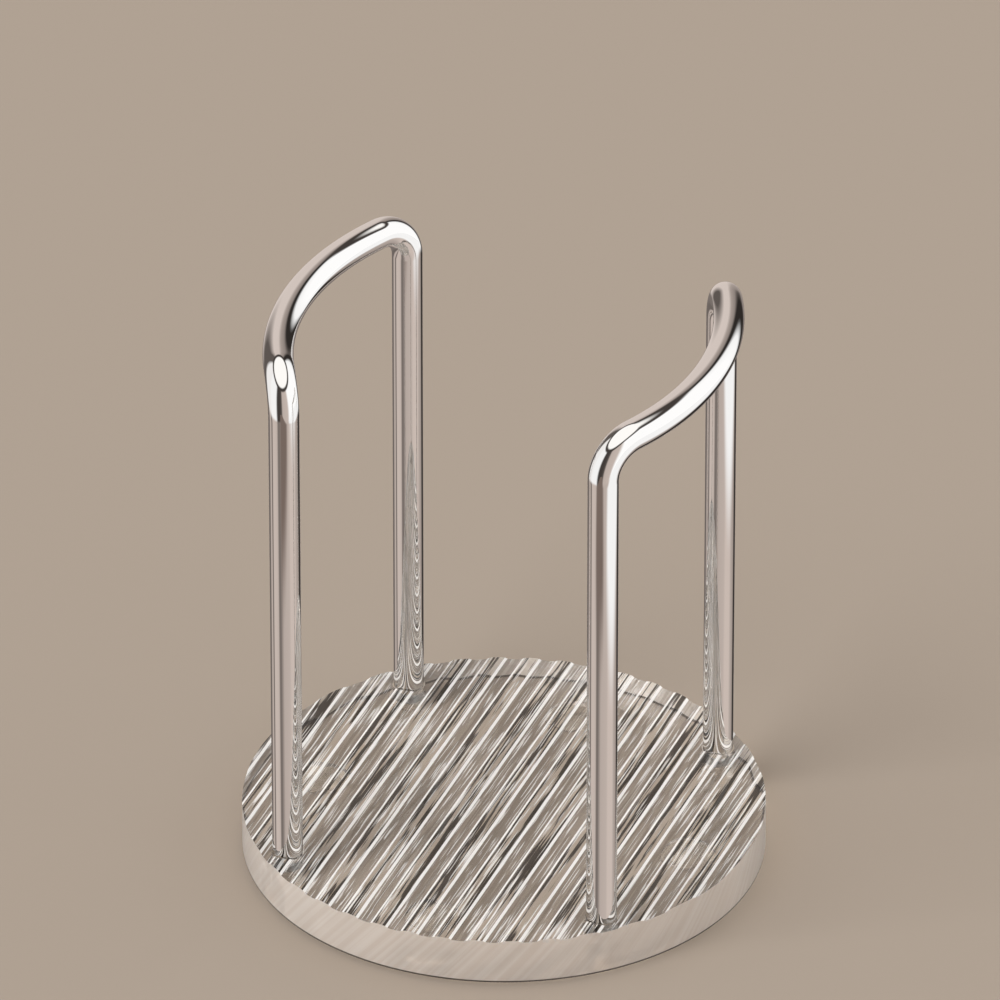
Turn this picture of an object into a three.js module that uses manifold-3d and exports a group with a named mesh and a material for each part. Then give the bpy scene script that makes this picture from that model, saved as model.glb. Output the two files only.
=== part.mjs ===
// A countertop rack for a stack of paper cups, as a three.js scene graph.
//
// Two bent-tube hoops stand on a clear, ribbed disc. A screw from beneath holds each of
// the four posts, and soft pads keep the disc off the counter.
//
// Millimetres, +Z up. The origin is on the rack's centre line, at the underside of the
// pads. The hoops stand on the +X and -X sides, and the ribs run along Y.

import * as THREE from 'three';
import { mergeVertices } from 'three/addons/utils/BufferGeometryUtils.js';
import Module from 'manifold-3d';

const wasm = await Module();
wasm.setup();

// Space left between neighbouring pieces.
const CLEARANCE = 0.3;

// Pads: soft discs let into the underside of the base.
const PAD_RADIUS = 6;
const PAD_THICKNESS = 1.5;
const PAD_STAND_OFF = 0.8;
const PAD_EDGE = 0.4;
const PAD_CIRCLE_RADIUS = 45;

// Base disc, measured from its underside to the tops of its ribs.
const BASE_RADIUS = 60;
const BASE_THICKNESS = 11.4;
const BASE_EDGE = 0.5;
const BASE_SIDES = 96;

// Ribs: flat tops with sloping flanks, one of them on the centre line.
const RIB_PITCH = 7.6;
const RIB_TOP_WIDTH = 3.3;
const RIB_HEIGHT = 0.5;
const RIB_FLANK_RUN = 0.5;

// Hoops: round tube bent into an upside-down U whose bridge bows outwards.
const TUBE_RADIUS = 3.5;
const TUBE_WALL = 0.7;
const TUBE_SIDES = 16;
const POST_CIRCLE_RADIUS = 54;
const HOOP_RISE = 124;
const BRIDGE_BOW_RADIUS = 71.5;
const CORNER_RADIUS = 8.5;
const POST_STEPS = 1;
const CORNER_STEPS = 6;
const BRIDGE_STEPS = 14;

// Seats of the posts: a socket from above, a hole, and a counterbore from below.
const SOCKET_DEPTH = 2;
const SOCKET_RADIUS = TUBE_RADIUS + CLEARANCE;
const COUNTERBORE_RADIUS = 4.2;
const COUNTERBORE_DEPTH = 4.2;

// Screws, with their washers and the threaded inserts that they pull on.
const SCREW_RADIUS = 1.5;
const SCREW_LENGTH = 14;
const SCREW_HEAD_RADIUS = 2.8;
const SCREW_HEAD_HEIGHT = 2;
const SCREW_TIP = 0.5;
const RECESS_WIDTH = 0.7;
const RECESS_LENGTH = 3;
const RECESS_DEPTH = 1.2;
const WASHER_RADIUS = 3.7;
const WASHER_THICKNESS = 0.5;
const INSERT_LENGTH = 10;
const INSERT_EDGE = 0.4;
const HARDWARE_SIDES = 16;
const PAD_SIDES = 24;

// Heights worked out from the dimensions above.
const baseBottom = PAD_STAND_OFF;
const baseTop = baseBottom + BASE_THICKNESS;
const grooveFloor = baseTop - RIB_HEIGHT;
const socketFloor = grooveFloor - SOCKET_DEPTH;
const postBottom = socketFloor + CLEARANCE;
const bridgeHeight = baseTop + HOOP_RISE;
const counterboreTop = baseBottom + COUNTERBORE_DEPTH;
const washerBottom = counterboreTop - CLEARANCE - WASHER_THICKNESS;
const screwBottom = washerBottom - CLEARANCE - SCREW_HEAD_HEIGHT;

// Holes and plugs that fit round one another.
const screwHoleRadius = SCREW_RADIUS + CLEARANCE;
const insertRadius = TUBE_RADIUS - TUBE_WALL - CLEARANCE;

// The posts stand at the corners of a square, and the pads lie midway between them.
const postOffset = POST_CIRCLE_RADIUS * Math.SQRT1_2;
const posts = [
  { place: 'right_front', x: postOffset, y: -postOffset },
  { place: 'right_back', x: postOffset, y: postOffset },
  { place: 'left_front', x: -postOffset, y: -postOffset },
  { place: 'left_back', x: -postOffset, y: postOffset },
];
const pads = [
  { place: 'right', x: PAD_CIRCLE_RADIUS, y: 0 },
  { place: 'left', x: -PAD_CIRCLE_RADIUS, y: 0 },
  { place: 'front', x: 0, y: -PAD_CIRCLE_RADIUS },
  { place: 'back', x: 0, y: PAD_CIRCLE_RADIUS },
];

const materials = {
  clear: new THREE.MeshStandardMaterial({
    color: 0xe9e6e0, roughness: 0.05, metalness: 0, transparent: true, opacity: 0.35,
  }),
  chrome: new THREE.MeshStandardMaterial({ color: 0xd9d6d2, roughness: 0.08, metalness: 1 }),
  steel: new THREE.MeshStandardMaterial({ color: 0xb9b7b2, roughness: 0.3, metalness: 1 }),
  brass: new THREE.MeshStandardMaterial({ color: 0xc9a75c, roughness: 0.3, metalness: 1 }),
  silicone: new THREE.MeshStandardMaterial({ color: 0xd8d6d0, roughness: 0.5, metalness: 0 }),
};

// Joins equal corners and drops the triangles that have shrunk to a line.
function closedMesh(geometry) {
  const bare = geometry.clone();
  bare.deleteAttribute('normal');
  bare.deleteAttribute('uv');
  const merged = mergeVertices(bare, 1e-4);
  const corners = merged.index.array;
  const kept = [];
  for (let i = 0; i < corners.length; i += 3) {
    const [a, b, c] = corners.slice(i, i + 3);
    if (a !== b && b !== c && c !== a) kept.push(a, b, c);
  }
  merged.setIndex(kept);
  return merged;
}

function toSolid(geometry) {
  const mesh = closedMesh(geometry);
  return new wasm.Manifold(new wasm.Mesh({
    numProp: 3,
    vertProperties: new Float32Array(mesh.attributes.position.array),
    triVerts: new Uint32Array(mesh.index.array),
  }));
}

function toGeometry(solid) {
  const mesh = solid.getMesh();
  const geometry = new THREE.BufferGeometry();
  geometry.setAttribute('position', new THREE.BufferAttribute(mesh.vertProperties, 3));
  geometry.setIndex(new THREE.BufferAttribute(mesh.triVerts, 1));
  geometry.computeVertexNormals();
  return geometry;
}

// Spins an outline of [radius, height] points about the Z axis.
function spun(outline, sides) {
  const points = outline.map(([radius, height]) => new THREE.Vector2(radius, height));
  return new THREE.LatheGeometry(points, sides).rotateX(Math.PI / 2);
}

// A round post along Z between two heights.
function upright(radius, bottom, top, x, y) {
  return new THREE.CylinderGeometry(radius, radius, top - bottom, HARDWARE_SIDES)
    .rotateX(Math.PI / 2)
    .translate(x, y, (bottom + top) / 2);
}

// One groove between two ribs, cut a little past the base's top and both its ends.
function grooveCutter(x) {
  const overrun = 1;
  const length = 2 * (BASE_RADIUS + overrun);
  const floorHalf = (RIB_PITCH - RIB_TOP_WIDTH) / 2 - RIB_FLANK_RUN;
  const mouthHalf = floorHalf + RIB_FLANK_RUN;
  const section = new THREE.Shape([
    new THREE.Vector2(-floorHalf, grooveFloor),
    new THREE.Vector2(floorHalf, grooveFloor),
    new THREE.Vector2(mouthHalf, baseTop),
    new THREE.Vector2(mouthHalf, baseTop + overrun),
    new THREE.Vector2(-mouthHalf, baseTop + overrun),
    new THREE.Vector2(-mouthHalf, baseTop),
  ]);
  return new THREE.ExtrudeGeometry(section, { depth: length, steps: 1, bevelEnabled: false })
    .rotateX(Math.PI / 2)
    .translate(x, length / 2, 0);
}

// Everything that is cut out of the base for one post.
function postSeatCutters({ x, y }) {
  const overrun = 1;
  return [
    upright(SOCKET_RADIUS, socketFloor, baseTop + overrun, x, y),
    upright(screwHoleRadius, counterboreTop - overrun, socketFloor + overrun, x, y),
    upright(COUNTERBORE_RADIUS, baseBottom - overrun, counterboreTop, x, y),
  ];
}

function padRecessCutter({ x, y }) {
  const overrun = 1;
  return upright(PAD_RADIUS + CLEARANCE, baseBottom - overrun, PAD_THICKNESS + CLEARANCE, x, y);
}

function baseGeometry() {
  const blank = spun([
    [0, baseBottom],
    [BASE_RADIUS - BASE_EDGE, baseBottom],
    [BASE_RADIUS, baseBottom + BASE_EDGE],
    [BASE_RADIUS, baseTop],
    [0, baseTop],
  ], BASE_SIDES);
  const cutters = [...posts.flatMap(postSeatCutters), ...pads.map(padRecessCutter)];
  const lastGroove = Math.floor(BASE_RADIUS / RIB_PITCH);
  for (let groove = 0; groove <= lastGroove; groove += 1) {
    const x = (groove + 0.5) * RIB_PITCH;
    cutters.push(grooveCutter(x), grooveCutter(-x));
  }
  return toGeometry(cutters.reduce((solid, cutter) => solid.subtract(toSolid(cutter)), toSolid(blank)));
}

// The centre line of the +X hoop, from the foot of its front post over to its back post.
// Equal steps of the curve's parameter are short in the corners and long on the posts.
class HoopPath extends THREE.Curve {
  constructor() {
    super();
    this.halfSteps = POST_STEPS + CORNER_STEPS + BRIDGE_STEPS / 2;
    this.steps = 2 * this.halfSteps;
    this.bowCentre = postOffset - Math.sqrt(BRIDGE_BOW_RADIUS ** 2 - postOffset ** 2);
    this.halfAngle = Math.asin(postOffset / BRIDGE_BOW_RADIUS);
    this.cornerAngle = CORNER_RADIUS / BRIDGE_BOW_RADIUS;
  }

  // Keeps the curve's own parameter instead of its length along the tube.
  getUtoTmapping(parameter) {
    return parameter;
  }

  // Angle round the bow and height, for a step between the foot and the middle of the bridge.
  halfStation(step) {
    const springing = bridgeHeight - CORNER_RADIUS;
    if (step <= POST_STEPS) {
      return [this.halfAngle, THREE.MathUtils.lerp(postBottom, springing, step / POST_STEPS)];
    }
    if (step <= POST_STEPS + CORNER_STEPS) {
      const turn = ((step - POST_STEPS) / CORNER_STEPS) * (Math.PI / 2);
      return [
        this.halfAngle - this.cornerAngle * (1 - Math.cos(turn)),
        springing + CORNER_RADIUS * Math.sin(turn),
      ];
    }
    const fraction = (step - POST_STEPS - CORNER_STEPS) / (BRIDGE_STEPS / 2);
    return [(this.halfAngle - this.cornerAngle) * (1 - fraction), bridgeHeight];
  }

  getPoint(parameter, target = new THREE.Vector3()) {
    const step = parameter * this.steps;
    const side = step < this.halfSteps ? -1 : 1;
    const [angle, height] = this.halfStation(this.halfSteps - Math.abs(step - this.halfSteps));
    return target.set(
      this.bowCentre + BRIDGE_BOW_RADIUS * Math.cos(angle),
      side * BRIDGE_BOW_RADIUS * Math.sin(angle),
      height,
    );
  }
}

function circle(radius) {
  return Array.from({ length: TUBE_SIDES }, (_, i) => {
    const angle = (2 * Math.PI * i) / TUBE_SIDES;
    return new THREE.Vector2(radius * Math.cos(angle), radius * Math.sin(angle));
  });
}

function hoopGeometry() {
  const path = new HoopPath();
  const section = new THREE.Shape(circle(TUBE_RADIUS));
  section.holes.push(new THREE.Path(circle(TUBE_RADIUS - TUBE_WALL)));
  return new THREE.ExtrudeGeometry(section, {
    steps: path.steps, extrudePath: path, bevelEnabled: false,
  });
}

// A plug in the end of each post, with a tapped hole for the screw.
function insertGeometry() {
  return spun([
    [screwHoleRadius + INSERT_EDGE, 0],
    [insertRadius, 0],
    [insertRadius, INSERT_LENGTH - INSERT_EDGE],
    [insertRadius - INSERT_EDGE, INSERT_LENGTH],
    [screwHoleRadius, INSERT_LENGTH],
    [screwHoleRadius, INSERT_EDGE],
    [screwHoleRadius + INSERT_EDGE, 0],
  ], HARDWARE_SIDES);
}

// Pan head downwards, shank upwards, with a cross recess in the head.
function screwGeometry() {
  const tip = SCREW_HEAD_HEIGHT + SCREW_LENGTH;
  const blank = spun([
    [0, 0],
    [0.62 * SCREW_HEAD_RADIUS, 0],
    [0.9 * SCREW_HEAD_RADIUS, 0.3 * SCREW_HEAD_HEIGHT],
    [SCREW_HEAD_RADIUS, 0.7 * SCREW_HEAD_HEIGHT],
    [SCREW_HEAD_RADIUS, SCREW_HEAD_HEIGHT],
    [SCREW_RADIUS, SCREW_HEAD_HEIGHT],
    [SCREW_RADIUS, tip - SCREW_TIP],
    [SCREW_RADIUS - SCREW_TIP, tip],
    [0, tip],
  ], HARDWARE_SIDES);
  const slot = new THREE.BoxGeometry(RECESS_LENGTH, RECESS_WIDTH, 2 * RECESS_DEPTH);
  const cross = toSolid(slot).add(toSolid(slot.clone().rotateZ(Math.PI / 2)));
  return toGeometry(toSolid(blank).subtract(cross));
}

function washerGeometry() {
  return spun([
    [screwHoleRadius, 0],
    [WASHER_RADIUS, 0],
    [WASHER_RADIUS, WASHER_THICKNESS],
    [screwHoleRadius, WASHER_THICKNESS],
    [screwHoleRadius, 0],
  ], HARDWARE_SIDES);
}

function padGeometry() {
  return spun([
    [0, 0],
    [PAD_RADIUS - PAD_EDGE, 0],
    [PAD_RADIUS, PAD_EDGE],
    [PAD_RADIUS, PAD_THICKNESS],
    [0, PAD_THICKNESS],
  ], PAD_SIDES);
}

function piece(name, geometry, material, x = 0, y = 0, z = 0) {
  const mesh = new THREE.Mesh(geometry, material);
  mesh.name = name;
  mesh.position.set(x, y, z);
  return mesh;
}

const rack = new THREE.Group();
rack.add(piece('base_disc', baseGeometry(), materials.clear));

rack.add(piece('hoop_right', hoopGeometry(), materials.chrome));
const hoopLeft = piece('hoop_left', hoopGeometry(), materials.chrome);
hoopLeft.rotation.z = Math.PI;
rack.add(hoopLeft);

for (const { place, x, y } of posts) {
  rack.add(piece(`insert_${place}`, insertGeometry(), materials.brass, x, y, postBottom));
  rack.add(piece(`washer_${place}`, washerGeometry(), materials.steel, x, y, washerBottom));
  rack.add(piece(`screw_${place}`, screwGeometry(), materials.steel, x, y, screwBottom));
}

for (const { place, x, y } of pads) {
  rack.add(piece(`pad_${place}`, padGeometry(), materials.silicone, x, y));
}

export default rack;
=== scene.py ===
"""A countertop rack for paper cups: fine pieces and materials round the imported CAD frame.

Two chrome tube hoops stand on a clear, ribbed disc, held by screws from beneath.
Every piece is placed from the frame's own boxes, in metres.
"""
import math

import bmesh
import bpy
import numpy as np
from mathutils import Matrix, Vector


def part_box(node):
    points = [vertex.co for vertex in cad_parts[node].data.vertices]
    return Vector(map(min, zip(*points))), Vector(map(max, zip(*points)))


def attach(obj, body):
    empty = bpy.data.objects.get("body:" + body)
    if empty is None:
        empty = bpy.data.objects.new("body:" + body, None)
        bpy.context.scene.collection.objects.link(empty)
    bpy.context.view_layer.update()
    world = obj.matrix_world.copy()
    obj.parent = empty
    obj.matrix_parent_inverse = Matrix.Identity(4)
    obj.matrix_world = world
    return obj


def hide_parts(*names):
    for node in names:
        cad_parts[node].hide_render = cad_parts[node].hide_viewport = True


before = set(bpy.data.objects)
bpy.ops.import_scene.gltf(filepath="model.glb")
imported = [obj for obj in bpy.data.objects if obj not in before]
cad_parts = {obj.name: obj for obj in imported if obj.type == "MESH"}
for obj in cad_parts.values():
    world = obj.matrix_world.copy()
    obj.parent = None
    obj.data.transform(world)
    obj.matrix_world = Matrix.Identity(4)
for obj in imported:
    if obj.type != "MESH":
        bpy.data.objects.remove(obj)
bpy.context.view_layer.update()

MM = 0.001
BODY = "root"
POSTS = ("right_front", "right_back", "left_front", "left_back")
PAD_PLACES = ("right", "left", "front", "back")

# Camera: the viewing angle in degrees, and the point on the rack that it looks at.
CAMERA_AZIMUTH = 20.9
CAMERA_ELEVATION = 31.7
CAMERA_DISTANCE = 3.42
CAMERA_LENS = 544
CAMERA_AIM_HEIGHT = 0.0922
CAMERA_AIM_LEFT = 0.0009

# Mesh helpers.
TURNED_SIDES = 64
FILLET_STEPS = 4
FILLET_SHARE = 0.45  # the most of a side that the fillet at one of its ends may take
MERGE_DISTANCE = 0.0001 * MM
SHARP_ANGLE = math.radians(32)

# Base disc: crowned ribs and hollow grooves on top, and a rounded lower edge.
RIB_PITCH = 7.6 * MM
RIB_TOP_WIDTH = 3.3 * MM
RIB_HEIGHT = 0.5 * MM
RIB_FLANK_RUN = 0.5 * MM
RIB_FILLET = 0.2 * MM
RIB_CROWN = 0.1 * MM
GROOVE_HOLLOW = 0.1 * MM
BOW_STEPS = 8
EDGE_RADIUS = 0.5 * MM
EDGE_STEPS = 6
RIM_STEP = math.radians(1)
STATION_GAP = 0.01 * MM

# Holes in the base. A cutter runs past the faces that it opens.
CLEARANCE = 0.3 * MM
OVERRUN = 1 * MM
SOCKET_DEPTH = 2 * MM
SCREW_HOLE_RADIUS = 1.8 * MM
COUNTERBORE_RADIUS = 4.2 * MM

# Hoops.
TUBE_WALL = 0.7 * MM
TUBE_SIDES = 64
TUBE_END_FILLET = 0.2 * MM
CORNER_RADIUS = 8.5 * MM
POST_STEPS = 16
CORNER_STEPS = 24
BRIDGE_STEPS = 72

# Screws. The head's outline is in fractions of its radius and height, from the middle outwards.
HEAD_OUTLINE = [(0, 0), (0.55, 0.02), (0.92, 0.3), (1, 0.68), (1, 1)]
HEAD_FILLET = 0.5 * MM
HEAD_FILLET_STEPS = 5
THREAD_PITCH = 0.5 * MM
THREAD_DEPTH = 0.27 * MM
THREAD_RINGS = 8
THREAD_SHARPNESS = 1.15
TIP_SHARE = 0.7
RECESS_LENGTH = 3 * MM
RECESS_WIDTH = 0.7 * MM
RECESS_DEPTH = 1.2 * MM
RECESS_MOUTH_SCALE = 1.2
RECESS_FLOOR_SCALE = 0.6

# Washers, and pads: shares of a pad's radius, and of its thickness for the skirt.
WASHER_FILLET = 0.12 * MM
PAD_FILLET = 0.4 * MM
PAD_DISH_DEPTH = 0.15 * MM
PAD_DISH_FLAT = 0.45
PAD_DISH_REACH = 0.55
PAD_FOOT_REACH = 0.88
PAD_SKIRT_RISE = 0.3

# Noise in the materials, in features per metre, for all directions or for X, Y and Z.
SMUDGE_SCALE = 45
WAVE_SCALE = 60
HAIRLINE_SCALE = (900, 900, 12)
STREAK_SCALE = (1300, 30, 300)
FINE_STREAKS = 2.3  # times STREAK_SCALE
PATCH_SCALE = 70
HAZE_SCALE = 90
RIM_LINE_SCALE = 700
PLATING_SCALE = 900
TURNING_SCALE = 1200
SILICONE_SCALE = 1500
RIM_LINE_SLANT = math.radians(40)

# What the noise gives: (noise from, noise to, value from, value to), and the depths of the bumps.
SMUDGE_ROUGHNESS = (0.5, 0.8, 0.012, 0.05)
HAIRLINE_ROUGHNESS = (0.6, 0.75, 0, 0.035)
HAZE_ROUGHNESS = (0.45, 0.8, 0.01, 0.05)
PLATING_ROUGHNESS = (0.3, 0.7, 0.22, 0.38)
BRASS_ROUGHNESS = (0.3, 0.7, 0.25, 0.4)
SILICONE_ROUGHNESS = (0.3, 0.7, 0.3, 0.5)
PATCH_SHIFT = (0.3, 0.7, -0.06, 0.06)
# Painted dark reflections: dark streaks along the ribs.
PAINTED_DARK_REFLECTIONS = (0.465, 0.53, 0, 1)
# Painted bright reflections: white streaks along the ribs.
PAINTED_BRIGHT_REFLECTIONS = (0.56, 0.64, 0, 0.65)
RIM_LINES = (0.4, 0.65, 0, 1)
WAVE_DEPTH = 0.004 * MM
STREAK_DEPTH = 0.02 * MM
GRAIN_DEPTH = 0.01 * MM

# Where each finish of the acrylic, the painted shade in the grooves and the painted shadow at the foot
# start
# and where each is whole: distances in from the rim, down from the top and up from the underside, and
# then parts of the surface's normal.
RIM_BAND = (0.9 * MM, 0.3 * MM)
TOP_BAND = (1 * MM, 0.8 * MM)
GROOVE_SHADE_BAND = (0.2 * MM, 0.4 * MM)
FOOT_SHADOW_BAND = (0.75 * MM, 0.55 * MM)
UPRIGHT_NORMAL = (0.6, 0.3)
FLANK_NORMAL = (0.14, 0.36)
UPWARD_NORMAL = (0.3, 0.5)

# How strong the painted shade in the grooves is, how matt the rim and the flanks are, and how milky:
# the rim's milkiness is a frosted finish, the flanks' milky white a painted highlight.
GROOVE_SHADE_STRENGTH = 0.8
RIM_SATIN = 0.3
FLANK_SATIN = 0.45
RIM_MILK = 0.52
FLANK_PAINTED_HIGHLIGHT = 0.85
ACRYLIC_IOR = 1.49

# Silicone: the share of its body that shows, face on and edge on.
SILICONE_BODY = (0.03, 0.5)
SILICONE_FACING_BLEND = 0.3

# Colours. Transmission tints a surface by about the square root of its colour, so the painted dark
# reflection streaks in the acrylic need one that is almost black.
CHROME_COLOUR = (0.9, 0.89, 0.88, 1)
PLATING_COLOURS = ((0.62, 0.61, 0.58, 1), (0.74, 0.73, 0.72, 1))
BRASS_COLOUR = (0.72, 0.56, 0.27, 1)
SILICONE_COLOUR = (0.7, 0.64, 0.57, 1)
SILICONE_CLEAR = (0.97, 0.96, 0.94, 1)
ACRYLIC_TINT = (1, 0.995, 0.985, 1)
ACRYLIC_SHADOW = (0.94, 0.93, 0.91, 1)
# Painted dark reflection: the tint of the dark streaks.
PAINTED_REFLECTION_DARK_TINT = (0.012, 0.01, 0.008, 1)
# Painted shade: the darker tint of the grooves.
GROOVE_SHADE_TINT = (0.4, 0.385, 0.37, 1)
# Painted highlight: the white of the rib flanks and of the bright streaks.
PAINTED_HIGHLIGHT_TINT = (0.9, 0.88, 0.86, 1)
RIM_TINTS = ((0.9, 0.81, 0.73, 1), (1, 0.93, 0.86, 1))
# Painted shadow: a dark line along the foot of the rim.
FOOT_SHADOW_TINT = (0.06, 0.05, 0.04, 1)

STUDIO_STRIPS = [
    (0, 0.35, 0.07), (8, 0.5, 0.1), (17, 0.52, 0.55), (52, 0.55, 0.6),
    (64, 0.64, 1.1), (100, 0.64, 1.1),
    (112, 0.5, 1.1), (140, 0.36, 1.1), (148, 0.03, 1.1), (159, 0.03, 1.0),
    (165, 0.03, 0.03), (172, 0.05, 0.03),
    (178, 0.2, 0.3), (190, 0.2, 0.42),
    (200, 0.2, 0.7), (220, 0.2, 0.7),
    (232, 0.16, 0.12), (250, 0.16, 0.12),
    (258, 0.5, 0.95), (274, 0.55, 0.95), (279, 0.16, 0.95), (285, 0.16, 0.95), (291, 0.6, 1.0),
    (306, 0.62, 1.0), (328, 0.58, 1.0),
    (338, 0.2, 0.06), (349, 0.2, 0.06), (356, 0.33, 0.06), (360, 0.35, 0.07),
]
WARM = (1.0, 0.85, 0.77)
WARM_UP_TO = 0.65
NEUTRAL_FROM = 1.0
COVE = (0.06, 0.05, 0.045, 1)
CEILING = (1.1, 1.08, 1.05, 1)
# Where one part of the studio turns into the next, as the sine of the elevation.
STRIPS_CHANGE = (-0.48, -0.38)
COVE_STARTS = (0.64, 0.7)
CEILING_STARTS = (0.74, 0.8)
# The camera sees this instead of the studio: the floor's colour as it comes out in the light.
BACKDROP = (0.434, 0.359, 0.292, 1)
FLOOR_COLOUR = (0.345, 0.29, 0.24, 1)
FLOOR_ROUGHNESS = 0.9
FLOOR_HALF_WIDTH = 12
KEY_AZIMUTH = -30
KEY_ELEVATION = 50
KEY_STRENGTH = 2.0
KEY_SPREAD = math.radians(35)
# Cards on the floor: two opposite corners (x, y), height above the floor and colour.
CARDS = {
    "brown_card": ((-0.09, -0.9), (0.14, -0.15), 0.1 * MM, (0.2, 0.152, 0.13, 1)),
    "white_card": ((0.14, -0.2), (0.9, 0.4), 0.2 * MM, (1.0, 1.0, 1.0, 1)),
}
CARD_SOFT_EDGE = 0.06

# ---------------------------------------------------------------- meshes

def new_piece(name, vertices, faces, location=(0, 0, 0)):
    mesh = bpy.data.meshes.new(name)
    mesh.from_pydata([tuple(v) for v in vertices], [], faces)
    mesh.validate()
    piece = bpy.data.objects.new(name, mesh)
    piece.location = location
    bpy.context.scene.collection.objects.link(piece)
    return piece


def tidy_mesh(piece):
    """Joins doubled corners, drops empty faces and turns every face outwards."""
    work = bmesh.new()
    work.from_mesh(piece.data)
    bmesh.ops.remove_doubles(work, verts=work.verts, dist=MERGE_DISTANCE)
    bmesh.ops.dissolve_degenerate(work, edges=work.edges, dist=MERGE_DISTANCE)
    bmesh.ops.recalc_face_normals(work, faces=work.faces)
    work.to_mesh(piece.data)
    work.free()


def shade(piece):
    """Smooth shading with sharp edges past an angle, and normals that follow the large faces."""
    piece.data.shade_smooth()
    piece.data.set_sharp_from_angle(angle=SHARP_ANGLE)
    weighted = piece.modifiers.new("weighted_normals", "WEIGHTED_NORMAL")
    weighted.keep_sharp = True


def cut(piece, cutters):
    """Subtracts solids from a piece, and leaves the result as its plain, tidy mesh."""
    for cutter in cutters:
        boolean = piece.modifiers.new("cut", "BOOLEAN")
        boolean.operation = "DIFFERENCE"
        boolean.solver = "EXACT"
        boolean.object = cutter
    depsgraph = bpy.context.evaluated_depsgraph_get()
    result = bpy.data.meshes.new_from_object(piece.evaluated_get(depsgraph))
    piece.modifiers.clear()
    piece.data = result
    for cutter in cutters:
        bpy.data.objects.remove(cutter)
    tidy_mesh(piece)


def filleted(points, radius, steps=FILLET_STEPS):
    """A polyline of (u, v) points whose inner corners are rounded by quadratic curves."""
    result = [points[0]]
    for before, corner, after in zip(points, points[1:], points[2:]):
        before, corner, after = (np.array(p, float) for p in (before, corner, after))
        back, ahead = before - corner, after - corner
        back_length, ahead_length = np.linalg.norm(back), np.linalg.norm(ahead)
        reach = min(radius, FILLET_SHARE * back_length, FILLET_SHARE * ahead_length)
        start = corner + back * reach / back_length
        end = corner + ahead * reach / ahead_length
        for t in np.linspace(0, 1, steps + 1):
            result.append(tuple((1 - t) ** 2 * start + 2 * t * (1 - t) * corner + t * t * end))
    return result + [points[-1]]


def spun(name, outline_at, location=(0, 0, 0), closed=False):
    """Spins an outline of (radius, height) points, which may change with the turn from 0 to 1.

    A closed outline has its last point joined to its first.
    """
    vertices = []
    for i in range(TURNED_SIDES):
        outline = outline_at(i / TURNED_SIDES)
        angle = 2 * math.pi * i / TURNED_SIDES
        vertices += [(r * math.cos(angle), r * math.sin(angle), z) for r, z in outline]
    count = len(outline)
    faces = []
    for i in range(TURNED_SIDES):
        here, there = i * count, (i + 1) % TURNED_SIDES * count
        for j in range(count if closed else count - 1):
            k = (j + 1) % count
            faces.append((here + j, there + j, there + k, here + k))
    piece = new_piece(name, vertices, faces, location)
    tidy_mesh(piece)
    return piece


def turned(name, outline, location=(0, 0, 0)):
    """Spins one open outline, from axis to axis, about the Z axis."""
    return spun(name, lambda turn: outline, location)


def plug(radius, bottom, top, x, y):
    """A round cutter between two heights."""
    outline = [(0, bottom), (radius, bottom), (radius, top), (0, top)]
    return turned("cutter", outline, (x, y, 0))


def footprint(node):
    """Centre of a node's box, at the box's lowest height."""
    low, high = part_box(node)
    return Vector(((low.x + high.x) / 2, (low.y + high.y) / 2, low.z))


def tube_radius():
    """Half the hoops' tube: a post's centre is as far out along X as along Y."""
    low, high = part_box("hoop_right")
    return (high.y - low.x) / 2


# ---------------------------------------------------------------- base disc

def bowed(start, end, bow):
    """Points of a shallow arc between two points at one height, without the two themselves."""
    result = []
    for t in np.linspace(0, 1, BOW_STEPS + 1)[1:-1]:
        result.append((start[0] + (end[0] - start[0]) * t, start[1] + bow * 4 * t * (1 - t)))
    return result


def rib_profile(radius, top):
    """Heights of the ribbed top face across X: crowned ribs, hollow grooves, rounded corners."""
    half_top = RIB_TOP_WIDTH / 2
    half_foot = half_top + RIB_FLANK_RUN
    shoulder = top - RIB_CROWN
    foot = top - RIB_HEIGHT + GROOVE_HOLLOW
    last = math.ceil(radius / RIB_PITCH)
    outline = [(-(last + 0.5) * RIB_PITCH, foot)]
    for rib in range(-last, last + 1):
        x = rib * RIB_PITCH
        left_foot, right_foot = (x - half_foot, foot), (x + half_foot, foot)
        left_top, right_top = (x - half_top, shoulder), (x + half_top, shoulder)
        if rib > -last:
            outline += bowed(outline[-1], left_foot, -GROOVE_HOLLOW)
        outline += [left_foot, left_top, *bowed(left_top, right_top, RIB_CROWN), right_top, right_foot]
    outline.append(((last + 0.5) * RIB_PITCH, foot))
    return np.array(filleted(outline, RIB_FILLET))


def base_stations(profile, radius):
    """X values across the disc: the rib profile's own, and even steps round the rim."""
    rim = radius * np.sin(np.arange(-math.pi / 2, math.pi / 2 + RIM_STEP / 2, RIM_STEP))
    ribs = profile[np.abs(profile[:, 0]) < radius, 0]
    stations = [-radius]
    for x in np.sort(np.concatenate([rim, ribs])):
        if x - stations[-1] > STATION_GAP:
            stations.append(x)
    stations[-1] = radius
    return np.array(stations)


def rounded_edge(radius):
    """(share of the disc's radius, height above its underside) down round the lower edge."""
    result = []
    for angle in np.linspace(0, math.pi / 2, EDGE_STEPS):
        inset = EDGE_RADIUS * (1 - math.cos(angle))
        result.append((1 - inset / radius, EDGE_RADIUS * (1 - math.sin(angle))))
    return result


def base_faces(count, depth):
    """Quads round the front and the back, and strips over the top face and the underside."""
    faces = []
    for i in range(count - 1):
        for ring in range(depth - 1):
            for first_ring in (0, depth):
                a = (first_ring + ring) * count + i
                faces.append((a, a + 1, a + 1 + count, a + count))
        for ring in (0, depth - 1):
            front = ring * count + i
            back = front + depth * count
            faces.append((front, front + 1, back + 1, back))
    return faces


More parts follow.
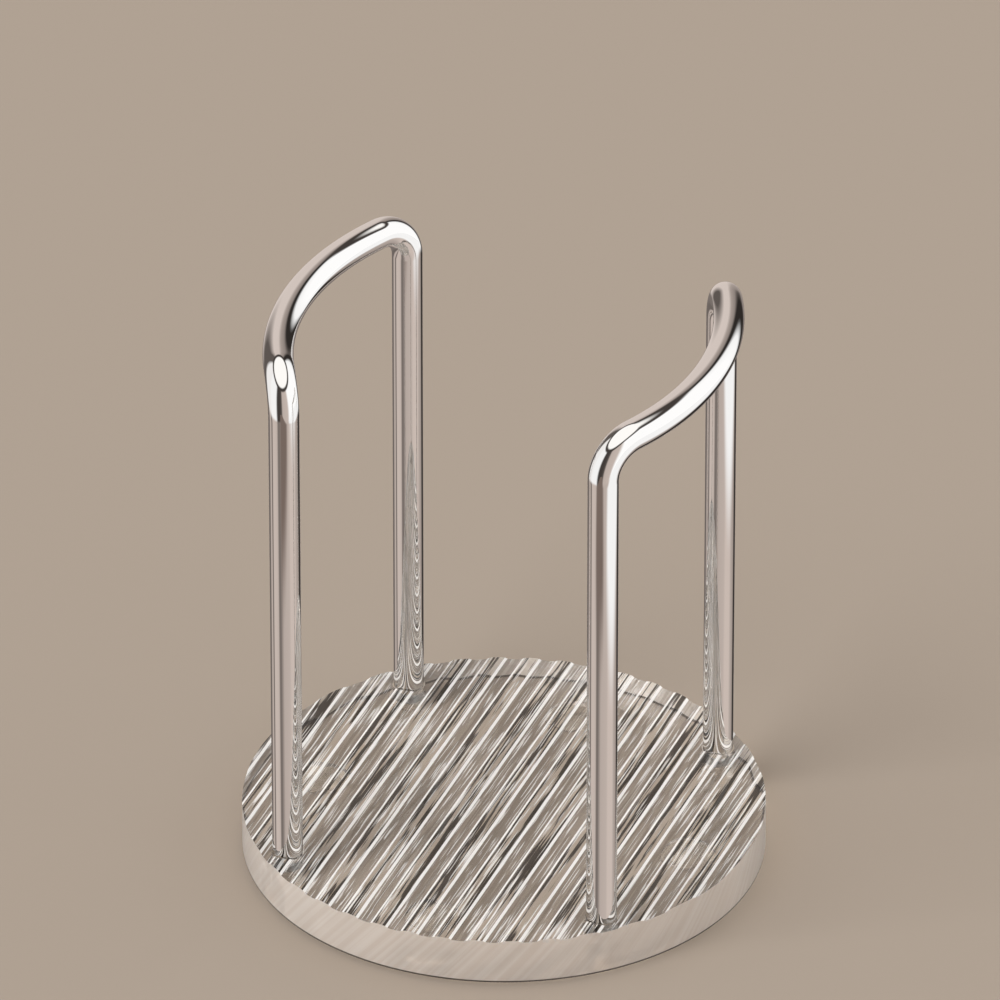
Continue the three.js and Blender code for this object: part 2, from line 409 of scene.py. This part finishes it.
def base_blank(low, high):
    """The disc before its holes, in strips along Y: rings of the front half, then of the back half."""
    radius = (high.x - low.x) / 2
    profile = rib_profile(radius, high.z)
    xs = base_stations(profile, radius)
    heights = np.interp(xs, profile[:, 0], profile[:, 1])
    ys = np.sqrt(np.maximum(radius ** 2 - xs ** 2, 0))
    edge = rounded_edge(radius)
    vertices = []
    for side in (-1, 1):
        vertices += list(zip(xs, side * ys, heights))
        for scale, rise in edge:
            vertices += [(x * scale, side * y * scale, low.z + rise) for x, y in zip(xs, ys)]
    piece = new_piece("base_disc_clear", vertices, base_faces(len(xs), len(edge) + 1))
    tidy_mesh(piece)
    return piece


def base_cutters(low, high):
    """Sockets, screw holes and counterbores under the posts, and recesses for the pads."""
    socket_floor = high.z - RIB_HEIGHT - SOCKET_DEPTH
    cutters = []
    for place in POSTS:
        _, washer_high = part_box(f"washer_{place}")
        counterbore_top = washer_high.z + CLEARANCE
        x, y, _ = footprint(f"insert_{place}")
        cutters.append(plug(tube_radius() + CLEARANCE, socket_floor, high.z + OVERRUN, x, y))
        cutters.append(plug(SCREW_HOLE_RADIUS, counterbore_top - OVERRUN, socket_floor + OVERRUN, x, y))
        cutters.append(plug(COUNTERBORE_RADIUS, low.z - OVERRUN, counterbore_top, x, y))
    for place in PAD_PLACES:
        pad_low, pad_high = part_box(f"pad_{place}")
        x, y, _ = footprint(f"pad_{place}")
        radius = (pad_high.x - pad_low.x) / 2 + CLEARANCE
        cutters.append(plug(radius, low.z - OVERRUN, pad_high.z + CLEARANCE, x, y))
    return cutters


def make_base():
    low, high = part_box("base_disc")
    piece = base_blank(low, high)
    cut(piece, base_cutters(low, high))
    shade(piece)
    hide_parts("base_disc")
    return piece


# ---------------------------------------------------------------- hoops

def hoop_centre_line(low, high, radius):
    """Points along a hoop on the +X side, from its front foot over to its back foot.

    All of them lie at bow_radius from one upright axis. The posts stand at X = offset and at
    Y = -offset and offset, and the bridge bows out between them as far as the hoop's box.
    """
    offset = (high.y + low.x) / 2
    bow = high.x - radius - offset
    bow_radius = (offset ** 2 + bow ** 2) / (2 * bow)
    centre = offset + bow - bow_radius
    half_angle = math.asin(offset / bow_radius)
    corner_angle = CORNER_RADIUS / bow_radius
    bridge = high.z - radius
    springing = bridge - CORNER_RADIUS
    half = [(half_angle, z) for z in np.linspace(low.z, springing, POST_STEPS, endpoint=False)]
    for turn in np.linspace(0, math.pi / 2, CORNER_STEPS, endpoint=False):
        angle = half_angle - corner_angle * (1 - math.cos(turn))
        half.append((angle, springing + CORNER_RADIUS * math.sin(turn)))
    for angle in np.linspace(half_angle - corner_angle, 0, BRIDGE_STEPS // 2, endpoint=False):
        half.append((angle, bridge))
    front = [(-angle, z) for angle, z in half]
    stations = front + [(0, bridge)] + half[::-1]
    return np.array([(centre + bow_radius * math.cos(angle), bow_radius * math.sin(angle), z)
                     for angle, z in stations])


def section_frames(points):
    """The direction of a line and two crosswise ones at each point, carried along without twisting."""
    tangents = np.gradient(points, axis=0)
    tangents /= np.linalg.norm(tangents, axis=1)[:, None]
    across = np.cross(tangents[0], (0, 1, 0))
    frames = []
    for tangent in tangents:
        across = across - tangent * np.dot(across, tangent)
        across /= np.linalg.norm(across)
        frames.append((tangent, across, np.cross(tangent, across)))
    return frames


def hoop_rings(last, radius):
    """(point index, radius, slide along the line) of each ring: outside, round the end, inside."""
    soft = TUBE_END_FILLET
    inner = radius - TUBE_WALL
    outside = [(i, radius, 0) for i in range(1, last)]
    far_end = [(last, radius, -soft), (last, radius - soft, 0),
               (last, inner + soft, 0), (last, inner, -soft)]
    inside = [(i, inner, 0) for i in range(last - 1, 0, -1)]
    near_end = [(0, inner, soft), (0, inner + soft, 0), (0, radius - soft, 0), (0, radius, soft)]
    return outside + far_end + inside + near_end


def ring_faces(count):
    """Quads between neighbouring rings of the tube's skin, and from the last back to the first."""
    faces = []
    for ring in range(count):
        here, there = ring * TUBE_SIDES, (ring + 1) % count * TUBE_SIDES
        for i in range(TUBE_SIDES):
            j = (i + 1) % TUBE_SIDES
            faces.append((here + i, here + j, there + j, there + i))
    return faces


def make_hoop(side, sign):
    """One hoop. A sign of -1 turns it half round the Z axis, to the other side."""
    low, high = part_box("hoop_right")
    points = hoop_centre_line(low, high, tube_radius())
    frames = section_frames(points)
    rings = hoop_rings(len(points) - 1, tube_radius())
    vertices = []
    for index, radius, slide in rings:
        along, across, over = frames[index]
        centre = points[index] + along * slide
        for i in range(TUBE_SIDES):
            angle = 2 * math.pi * i / TUBE_SIDES
            vertices.append(centre + radius * (math.cos(angle) * across + math.sin(angle) * over))
    vertices = np.array(vertices) * (sign, sign, 1)
    piece = new_piece(f"hoop_{side}_tube", vertices, ring_faces(len(rings)))
    tidy_mesh(piece)
    shade(piece)
    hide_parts(f"hoop_{side}")
    return piece


# ---------------------------------------------------------------- fixings and pads

def thread_radius(core, height, turn):
    """Radius of the helical thread at a height, and at a turn from 0 to 1 round the shank."""
    phase = (height / THREAD_PITCH - turn) % 1
    return core + THREAD_DEPTH * max(0, 1 - abs(2 * phase - 1) * THREAD_SHARPNESS)


def screw_blank(length, head_height, head_radius, shank_radius):
    """Pan head and threaded shank in one skin, head down."""
    head = [(r * head_radius, z * head_height) for r, z in HEAD_OUTLINE] + [(shank_radius, head_height)]
    head = filleted(head, HEAD_FILLET, HEAD_FILLET_STEPS)
    core = shank_radius - THREAD_DEPTH
    heights = np.arange(head_height + THREAD_PITCH, length - THREAD_PITCH, THREAD_PITCH / THREAD_RINGS)
    tip = [(TIP_SHARE * core, length), (0, length)]
    return spun("screw", lambda turn: head + [(thread_radius(core, z, turn), z) for z in heights] + tip)


def recess_arm(angle):
    """A tapered bar across the head, one arm of the cross."""
    half_length, half_width = RECESS_LENGTH / 2, RECESS_WIDTH / 2
    corners = []
    for z, scale in ((-RECESS_DEPTH, RECESS_MOUTH_SCALE), (RECESS_DEPTH, RECESS_FLOOR_SCALE)):
        for x, y in ((-1, -1), (1, -1), (1, 1), (-1, 1)):
            corners.append((x * half_length * scale, y * half_width * scale, z))
    faces = [(3, 2, 1, 0), (4, 5, 6, 7), (0, 1, 5, 4), (1, 2, 6, 5), (2, 3, 7, 6), (3, 0, 4, 7)]
    arm = new_piece("cutter", corners, faces)
    arm.rotation_euler.z = angle
    return arm


def make_screws():
    """One screw with its cross recess, and a copy of it under every post."""
    low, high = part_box(f"screw_{POSTS[0]}")
    washer_low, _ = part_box(f"washer_{POSTS[0]}")
    head_height = washer_low.z - CLEARANCE - low.z
    head_radius = (high.x - low.x) / 2
    first = screw_blank(high.z - low.z, head_height, head_radius, SCREW_HOLE_RADIUS - CLEARANCE)
    cut(first, [recess_arm(0), recess_arm(math.pi / 2)])
    shade(first)
    pieces = []
    for place in POSTS:
        piece = first.copy()
        piece.name = f"screw_{place}_pan_head"
        piece.location = footprint(f"screw_{place}")
        bpy.context.scene.collection.objects.link(piece)
        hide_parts(f"screw_{place}")
        pieces.append(piece)
    bpy.data.objects.remove(first)
    return pieces


def make_washers():
    """Flat rings with rounded edges. Their outline starts and ends inside the hole."""
    pieces = []
    for place in POSTS:
        low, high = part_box(f"washer_{place}")
        outer, thick = (high.x - low.x) / 2, high.z - low.z
        outline = filleted([
            (SCREW_HOLE_RADIUS, thick / 2), (SCREW_HOLE_RADIUS, 0), (outer, 0),
            (outer, thick), (SCREW_HOLE_RADIUS, thick), (SCREW_HOLE_RADIUS, thick / 2),
        ], WASHER_FILLET)[:-1]
        piece = spun(f"washer_{place}_stamped", lambda turn: outline,
                     footprint(f"washer_{place}"), closed=True)
        shade(piece)
        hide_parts(f"washer_{place}")
        pieces.append(piece)
    return pieces


def make_pads():
    """Soft discs with a rounded skirt and a shallow dish underneath."""
    pieces = []
    for place in PAD_PLACES:
        low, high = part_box(f"pad_{place}")
        radius, thick = (high.x - low.x) / 2, high.z - low.z
        outline = [
            (0, PAD_DISH_DEPTH), (PAD_DISH_FLAT * radius, PAD_DISH_DEPTH), (PAD_DISH_REACH * radius, 0),
            (PAD_FOOT_REACH * radius, 0), (radius, PAD_SKIRT_RISE * thick), (radius, thick), (0, thick),
        ]
        piece = turned(f"pad_{place}_silicone", filleted(outline, PAD_FILLET), footprint(f"pad_{place}"))
        shade(piece)
        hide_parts(f"pad_{place}")
        pieces.append(piece)
    return pieces


# ---------------------------------------------------------------- materials

class Tree:
    """Short calls for building the node tree of a material or the world."""

    def __init__(self, owner):
        owner.use_nodes = True
        self.tree = owner.node_tree
        self.tree.nodes.clear()

    def add(self, kind, inputs=None, **settings):
        node = self.tree.nodes.new("ShaderNode" + kind)
        for name, value in settings.items():
            setattr(node, name, value)
        for name, value in (inputs or {}).items():
            if isinstance(value, bpy.types.NodeSocket):
                self.tree.links.new(value, node.inputs[name])
            else:
                node.inputs[name].default_value = value
        return node

    def math(self, operation, a, b=0.0):
        return self.add("Math", {0: a, 1: b}, operation=operation).outputs[0]

    def times(self, first, *others):
        for other in others:
            first = self.math("MULTIPLY", first, other)
        return first

    def remap(self, value, low, high, to_low=0.0, to_high=1.0, smooth=False):
        node = self.add("MapRange", {
            "Value": value, "From Min": low, "From Max": high, "To Min": to_low, "To Max": to_high,
        }, interpolation_type="SMOOTHSTEP" if smooth else "LINEAR")
        return node.outputs["Result"]

    def blend(self, factor, first, second):
        inputs = {0: factor, 6: first, 7: second}
        return self.add("Mix", inputs, data_type="RGBA").outputs[2]

    def noise(self, scale, detail, vector):
        inputs = {"Scale": scale, "Detail": detail, "Vector": vector}
        return self.add("TexNoise", inputs).outputs["Fac"]

    def stretched(self, vector, scale):
        return self.add("Mapping", {"Vector": vector, "Scale": scale}).outputs[0]

    def split(self, vector):
        return self.add("SeparateXYZ", {0: vector}).outputs

    def coordinate(self, kind):
        return self.add("TexCoord").outputs[kind]

    def bump(self, height, distance):
        return self.add("Bump", {"Height": height, "Distance": distance}).outputs[0]

    def mix_shaders(self, factor, first, second):
        return self.add("MixShader", {0: factor, 1: first.outputs[0], 2: second.outputs[0]})

    def finish(self, shader):
        self.add("OutputMaterial", {"Surface": shader.outputs[0]})


def new_material(name):
    material = bpy.data.materials.new(name)
    return material, Tree(material)


def chrome_material():
    """A mirror with smudges, hairlines along the posts and a slight waviness."""
    material, tree = new_material("mirror_chrome")
    place = tree.coordinate("Object")
    smudges = tree.remap(tree.noise(SMUDGE_SCALE, 4, place), *SMUDGE_ROUGHNESS, smooth=True)
    lines = tree.noise(1, 2, tree.stretched(place, HAIRLINE_SCALE))
    hairlines = tree.remap(lines, *HAIRLINE_ROUGHNESS, smooth=True)
    tree.finish(tree.add("BsdfPrincipled", {
        "Base Color": CHROME_COLOUR, "Metallic": 1.0,
        "Roughness": tree.math("ADD", smudges, hairlines),
        "Normal": tree.bump(tree.noise(WAVE_SCALE, 1, place), WAVE_DEPTH),
    }))
    return material


def acrylic_masks(tree, flat, height):
    """Where the disc's finishes and painted marks lie, from 0 to 1: rim, rib flanks, top face, painted
    shade in the grooves, painted shadow line at the foot.
    """
    low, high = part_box("base_disc")
    normal = tree.split(tree.coordinate("Normal"))
    reach = tree.add("VectorMath", {0: flat}, operation="LENGTH").outputs["Value"]
    outer = tree.remap(reach, high.x - RIM_BAND[0], high.x - RIM_BAND[1], smooth=True)
    upright = tree.remap(tree.math("ABSOLUTE", normal["Z"]), *UPRIGHT_NORMAL)
    rim = tree.times(outer, upright)
    inside = tree.math("SUBTRACT", 1, rim)
    steep = tree.remap(tree.math("ABSOLUTE", normal["X"]), *FLANK_NORMAL, smooth=True)
    upwards = tree.remap(normal["Z"], *UPWARD_NORMAL)
    top = tree.remap(height, high.z - TOP_BAND[0], high.z - TOP_BAND[1])
    # Painted shade: the grooves are tinted darker.
    deep = tree.remap(height, high.z - GROOVE_SHADE_BAND[0], high.z - GROOVE_SHADE_BAND[1], smooth=True)
    # Painted shadow: a dark line low on the rim, where the disc meets the floor.
    foot = tree.remap(height, low.z + FOOT_SHADOW_BAND[0], low.z + FOOT_SHADOW_BAND[1], smooth=True)
    return {
        "rim": rim, "flank": tree.times(steep, upwards, inside), "top": top,
        "hollow": tree.times(top, deep, GROOVE_SHADE_STRENGTH), "foot_shadow": tree.times(foot, outer),
    }


def streak_bump_and_painted_reflections(tree, place, top):
    """Noise drawn out along the ribs for the bump, and the streaks of painted dark and bright reflection
    that it gives the top face.
    """
    along_ribs = tree.stretched(place, STREAK_SCALE)
    drawn = tree.noise(1, 1.5, along_ribs)
    patches = tree.remap(tree.noise(PATCH_SCALE, 2, place), *PATCH_SHIFT)
    painted_dark_reflection = tree.remap(tree.math("ADD", drawn, patches), *PAINTED_DARK_REFLECTIONS, smooth=True)
    painted_bright_reflection = tree.remap(tree.noise(FINE_STREAKS, 1, along_ribs), *PAINTED_BRIGHT_REFLECTIONS, smooth=True)
    return drawn, tree.times(top, painted_dark_reflection), tree.times(top, painted_bright_reflection)


def slanted_lines(tree, flat, height):
    """Noise that turns with the height, so its lines climb the rim at a slant."""
    _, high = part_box("base_disc")
    twist = tree.times(height, -math.tan(RIM_LINE_SLANT) / high.x)
    untwisted = tree.add("VectorRotate", {"Vector": flat, "Angle": twist}, rotation_type="Z_AXIS")
    return tree.noise(RIM_LINE_SCALE, 2, untwisted.outputs[0])


def acrylic_tint(tree, masks, painted_dark_reflection, painted_highlights, rim_lines):
    """The acrylic's colour: clear, with dark streaks of painted reflection, painted shade in the
    grooves, a warm rim, painted highlights on the flanks and a painted shadow line at the foot.
    """
    # Painted dark reflections, as streaks.
    tint = tree.blend(painted_dark_reflection, ACRYLIC_TINT, PAINTED_REFLECTION_DARK_TINT)
    # Painted shade in the grooves.
    tint = tree.blend(masks["hollow"], tint, GROOVE_SHADE_TINT)
    rim_tint = tree.blend(tree.remap(rim_lines, *RIM_LINES), *RIM_TINTS)
    tint = tree.blend(masks["rim"], tint, rim_tint)
    # Painted highlights on the flanks and painted bright reflections in the streaks.
    tint = tree.blend(painted_highlights, tint, PAINTED_HIGHLIGHT_TINT)
    # Painted shadow along the foot of the rim.
    return tree.blend(masks["foot_shadow"], tint, FOOT_SHADOW_TINT)


def acrylic_material():
    """Clear acrylic with painted highlights on the rib flanks, streaks along the ribs that are bumps and
    painted reflections, painted shade in the grooves, a painted shadow line at the foot and a satin rim.
    """
    material, tree = new_material("clear_acrylic")
    place = tree.coordinate("Object")
    where = tree.split(place)
    flat = tree.add("CombineXYZ", {"X": where["X"], "Y": where["Y"]}).outputs[0]
    masks = acrylic_masks(tree, flat, where["Z"])
    rim, flank = masks["rim"], masks["flank"]
    drawn, painted_dark_reflection, painted_bright_reflection = streak_bump_and_painted_reflections(tree, place, masks["top"])
    rim_lines = slanted_lines(tree, flat, where["Z"])
    tint = acrylic_tint(tree, masks, painted_dark_reflection, tree.math("MAXIMUM", flank, painted_bright_reflection), rim_lines)

    haze = tree.remap(tree.noise(HAZE_SCALE, 3, place), *HAZE_ROUGHNESS, smooth=True)
    satin = tree.math("MAXIMUM", tree.times(rim, RIM_SATIN), tree.times(flank, FLANK_SATIN))
    # The milky white on the flanks and along the bright streaks is painted highlight and painted
    # reflection; on the rim it is a frosted finish.
    frosting_and_painted_highlights = tree.math("MAXIMUM", tree.times(rim, RIM_MILK), tree.times(flank, FLANK_PAINTED_HIGHLIGHT))
    frosting_and_painted_highlights = tree.math("MAXIMUM", frosting_and_painted_highlights, painted_bright_reflection)
    shader = tree.add("BsdfPrincipled", {
        "Base Color": tint, "Roughness": tree.math("MAXIMUM", haze, satin), "IOR": ACRYLIC_IOR,
        "Transmission Weight": tree.math("SUBTRACT", 1, frosting_and_painted_highlights),
        "Normal": tree.bump(tree.blend(rim, drawn, rim_lines), STREAK_DEPTH),
    })
    clear = tree.add("BsdfTransparent", {"Color": ACRYLIC_SHADOW})
    shadow = tree.add("LightPath").outputs["Is Shadow Ray"]
    tree.finish(tree.mix_shaders(shadow, shader, clear))
    return material


def steel_material():
    """Zinc-plated steel with a fine mottle."""
    material, tree = new_material("plated_steel")
    mottle = tree.noise(PLATING_SCALE, 3, tree.coordinate("Object"))
    tree.finish(tree.add("BsdfPrincipled", {
        "Base Color": tree.blend(mottle, *PLATING_COLOURS), "Metallic": 1.0,
        "Roughness": tree.remap(mottle, *PLATING_ROUGHNESS),
        "Normal": tree.bump(mottle, GRAIN_DEPTH),
    }))
    return material


def brass_material():
    """Turned brass with a fine grain."""
    material, tree = new_material("turned_brass")
    grain = tree.noise(TURNING_SCALE, 2, tree.coordinate("Object"))
    tree.finish(tree.add("BsdfPrincipled", {
        "Base Color": BRASS_COLOUR, "Metallic": 1.0,
        "Roughness": tree.remap(grain, *BRASS_ROUGHNESS),
        "Normal": tree.bump(grain, GRAIN_DEPTH),
    }))
    return material


def silicone_material():
    """Translucent silicone, clearest where it faces the viewer."""
    material, tree = new_material("clear_silicone")
    grain = tree.noise(SILICONE_SCALE, 3, tree.coordinate("Object"))
    soft = tree.add("BsdfPrincipled", {
        "Base Color": SILICONE_COLOUR, "Roughness": tree.remap(grain, *SILICONE_ROUGHNESS),
        "Normal": tree.bump(grain, GRAIN_DEPTH),
    })
    clear = tree.add("BsdfTransparent", {"Color": SILICONE_CLEAR})
    facing = tree.add("LayerWeight", {"Blend": SILICONE_FACING_BLEND}).outputs["Facing"]
    tree.finish(tree.mix_shaders(tree.remap(facing, 0, 1, *SILICONE_BODY), clear, soft))
    return material


def dress(pieces, material):
    for piece in pieces:
        piece.data.materials.clear()
        piece.data.materials.append(material)


# ---------------------------------------------------------------- studio

def away(azimuth, elevation):
    a, e = math.radians(azimuth), math.radians(elevation)
    return Vector((math.sin(a) * math.cos(e), -math.cos(a) * math.cos(e), math.sin(e)))


def make_camera():
    back = away(CAMERA_AZIMUTH, CAMERA_ELEVATION)
    right = Vector((-back.y, back.x, 0)).normalized()
    aim = Vector((0, 0, CAMERA_AIM_HEIGHT)) - right * CAMERA_AIM_LEFT
    data = bpy.data.cameras.new("camera")
    data.lens = CAMERA_LENS
    camera = bpy.data.objects.new("camera", data)
    camera.location = aim + back * CAMERA_DISTANCE
    camera.rotation_mode = "QUATERNION"
    camera.rotation_quaternion = (-back).to_track_quat("-Z", "Y")
    bpy.context.scene.collection.objects.link(camera)
    bpy.context.scene.camera = camera


def level_sheet(name, low, high, height, material):
    """A rectangle at one height, between two corners (x, y). It is part of the studio."""
    corners = [(low[0], low[1], height), (high[0], low[1], height),
               (high[0], high[1], height), (low[0], high[1], height)]
    sheet = new_piece(name, corners, [(0, 1, 2, 3)])
    dress([sheet], material)
    return sheet


def make_floor():
    """A plain matt floor. Reflections don't show it, but the studio's strips below the horizon."""
    material, tree = new_material("pale_floor")
    tree.finish(tree.add("BsdfPrincipled", {
        "Base Color": FLOOR_COLOUR, "Roughness": FLOOR_ROUGHNESS, "Specular IOR Level": 0.0,
    }))
    half = FLOOR_HALF_WIDTH
    floor = level_sheet("floor", (-half, -half), (half, half), 0, material)
    floor.visible_glossy = False


def make_card(name, low, high, height, colour):
    """A soft-edged card that lies beside the rack. Only reflections show it."""
    material, tree = new_material(name)
    where = tree.split(tree.coordinate("Object"))
    fades = []
    for axis, start, end in zip("XY", low, high):
        for edge, inwards in ((start, CARD_SOFT_EDGE), (end, -CARD_SOFT_EDGE)):
            fades.append(tree.remap(where[axis], edge, edge + inwards, smooth=True))
    glow = tree.add("Emission", {"Color": colour})
    clear = tree.add("BsdfTransparent")
    tree.finish(tree.mix_shaders(tree.times(*fades), clear, glow))
    card = level_sheet(name, low, high, height, material)
    card.visible_camera = False
    card.visible_diffuse = False
    card.visible_transmission = False
    card.visible_shadow = False


def make_key():
    """A wide, even key light. It has no edge of its own in the chrome."""
    data = bpy.data.lights.new("key", "SUN")
    data.energy = KEY_STRENGTH
    data.angle = KEY_SPREAD
    light = bpy.data.objects.new("key", data)
    light.rotation_mode = "QUATERNION"
    light.rotation_quaternion = away(KEY_AZIMUTH, KEY_ELEVATION).to_track_quat("Z", "Y")
    light.visible_glossy = False
    bpy.context.scene.collection.objects.link(light)


def lamp_colour(brightness):
    """Warm for the dim strips, neutral for the brightest."""
    neutral = (brightness - WARM_UP_TO) / (NEUTRAL_FROM - WARM_UP_TO)
    neutral = min(1, max(0, neutral))
    return [brightness * (tint + (1 - tint) * neutral) for tint in WARM]


def strip_ramp(tree, position, column):
    """A colour ramp round the horizon with one column of the studio's strips."""
    node = tree.add("ValToRGB", {0: position})
    ramp = node.color_ramp
    while len(ramp.elements) < len(STUDIO_STRIPS):
        ramp.elements.new(0.5)
    for element, strip in zip(ramp.elements, STUDIO_STRIPS):
        element.position = strip[0] / 360
        element.color = (*lamp_colour(strip[column]), 1)
    return node.outputs[0]


def make_world():
    """Upright soft panels all round, a light ceiling, and a plain tone behind the rack."""
    world = bpy.data.worlds.new("studio")
    bpy.context.scene.world = world
    tree = Tree(world)
    direction = tree.split(tree.coordinate("Generated"))
    forwards = tree.math("MULTIPLY", direction["Y"], -1)
    turns = tree.math("DIVIDE", tree.math("ARCTAN2", direction["X"], forwards), 2 * math.pi)
    around = tree.math("FRACT", tree.math("ADD", turns, 1))
    above = tree.remap(direction["Z"], *STRIPS_CHANGE, smooth=True)
    cove = tree.remap(direction["Z"], *COVE_STARTS, smooth=True)
    overhead = tree.remap(direction["Z"], *CEILING_STARTS, smooth=True)
    walls = tree.blend(above, strip_ramp(tree, around, 1), strip_ramp(tree, around, 2))
    room = tree.blend(overhead, tree.blend(cove, walls, COVE), CEILING)
    seen = tree.add("LightPath").outputs["Is Camera Ray"]
    background = tree.add("Background", {"Color": tree.blend(seen, room, BACKDROP)})
    tree.add("OutputWorld", {"Surface": background.outputs[0]})


def make_studio():
    bpy.context.scene.view_settings.view_transform = "Standard"
    make_camera()
    make_floor()
    for name, card in CARDS.items():
        make_card(name, *card)
    make_world()
    make_key()


def make_rack():
    """Every piece in its finish. The inserts keep their CAD meshes."""
    base = make_base()
    hoops = [make_hoop("right", 1), make_hoop("left", -1)]
    screws = make_screws()
    washers = make_washers()
    pads = make_pads()
    for piece in [base, *hoops, *screws, *washers, *pads]:
        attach(piece, BODY)
    inserts = [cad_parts[f"insert_{place}"] for place in POSTS]
    dress([base], acrylic_material())
    dress(hoops, chrome_material())
    dress(screws + washers, steel_material())
    dress(inserts, brass_material())
    dress(pads, silicone_material())


make_studio()
make_rack()
